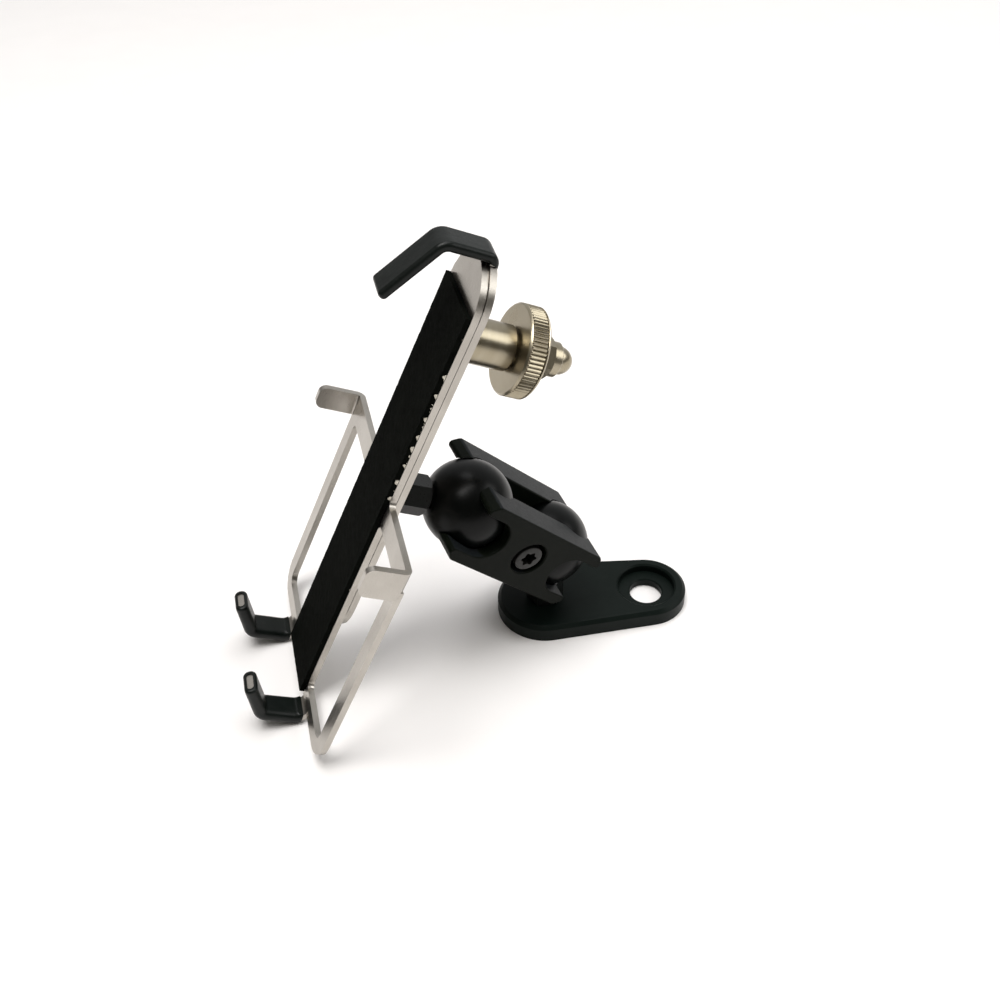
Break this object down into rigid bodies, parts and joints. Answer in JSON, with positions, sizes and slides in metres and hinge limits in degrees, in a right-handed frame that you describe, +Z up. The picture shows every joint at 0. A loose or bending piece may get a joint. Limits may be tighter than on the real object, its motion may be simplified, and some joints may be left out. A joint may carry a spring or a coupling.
{
  "type": "phone handlebar mount",
  "caption": "Metal phone cradle with sliding top hook and thumb nut on a double ball-socket arm over a one-hole base plate.",
  "frame": {"origin": "middle of the base plate's underside, halfway between the ball axis and the bolt hole axis", "axes": "+Z up, +X along the base plate from the ball to the bolt hole, +Y to the far side"},
  "size_m": [0.1382, 0.0805, 0.1378],
  "materials": {
    "stainless": "satin sheet, bright cut edges",
    "nickel": "satin nickel, turned",
    "zinc": "zinc plated",
    "black_ball": "satin black anodised",
    "black_arm": "bead blasted, black anodised",
    "black_base": "satin black anodised",
    "foam": "closed-cell foam, matt",
    "vinyl": "dipped vinyl, satin"
  },
  "bodies": {
    "base": {"base_plate": "black_base", "base_stem": "black_ball", "base_stem_screw": "zinc"},
    "base_ball": {"base_ball": "black_ball"},
    "arm": {"arm_half_near": "black_arm", "arm_half_far": "black_arm", "clamp_nut": "zinc"},
    "clamp_screw": {"clamp_screw": "black_ball"},
    "front_ball": {"front_ball": "black_ball"},
    "cradle": {"front_stem": "black_ball", "front_stem_screw": "zinc", "front_plate": "stainless", "foam_pad": "foam", "lower_hook_sleeve_near": "vinyl", "lower_hook_sleeve_far": "vinyl", "clamp_stud": "zinc", "dome_nut": "nickel"},
    "slider": {"slider_plate": "stainless", "top_hook_sleeve": "vinyl"},
    "thumb_nut": {"thumb_nut": "nickel"}
  },
  "joints": [
    {"name": "base_swivel", "type": "hinge", "parent": "base", "child": "base_ball", "pos_m": [-0.016, 0, 0.02755], "axis": [0, 0, 1], "continuous": true},
    {"name": "base_tilt", "type": "hinge", "parent": "base_ball", "child": "arm", "pos_m": [-0.016, 0, 0.02755], "axis": [-0.293, 0.9495, 0.1124], "range_deg": [-55, 140]},
    {"name": "cradle_tilt", "type": "hinge", "parent": "arm", "child": "front_ball", "pos_m": [-0.03939, -0.01042, 0.05453], "axis": [-0.293, 0.9495, 0.1124], "range_deg": [-50, 60]},
    {"name": "cradle_swivel", "type": "hinge", "parent": "front_ball", "child": "cradle", "pos_m": [-0.03939, -0.01042, 0.05453], "axis": [0.9025, 0.1108, -0.4163], "continuous": true},
    {"name": "slider_travel", "type": "slide", "parent": "cradle", "child": "slider", "axis": [0.4132, 0.0507, 0.9092], "range_m": [0, 0.038]},
    {"name": "thumb_nut_turn", "type": "hinge", "parent": "cradle", "child": "thumb_nut", "pos_m": [-0.04313, -0.01087, 0.11092], "axis": [0.9025, 0.1108, -0.4163], "continuous": true},
    {"name": "clamp_screw_turn", "type": "hinge", "parent": "arm", "child": "clamp_screw", "pos_m": [-0.0277, -0.00521, 0.04104], "axis": [-0.293, 0.9495, 0.1124], "continuous": true}
  ]
}
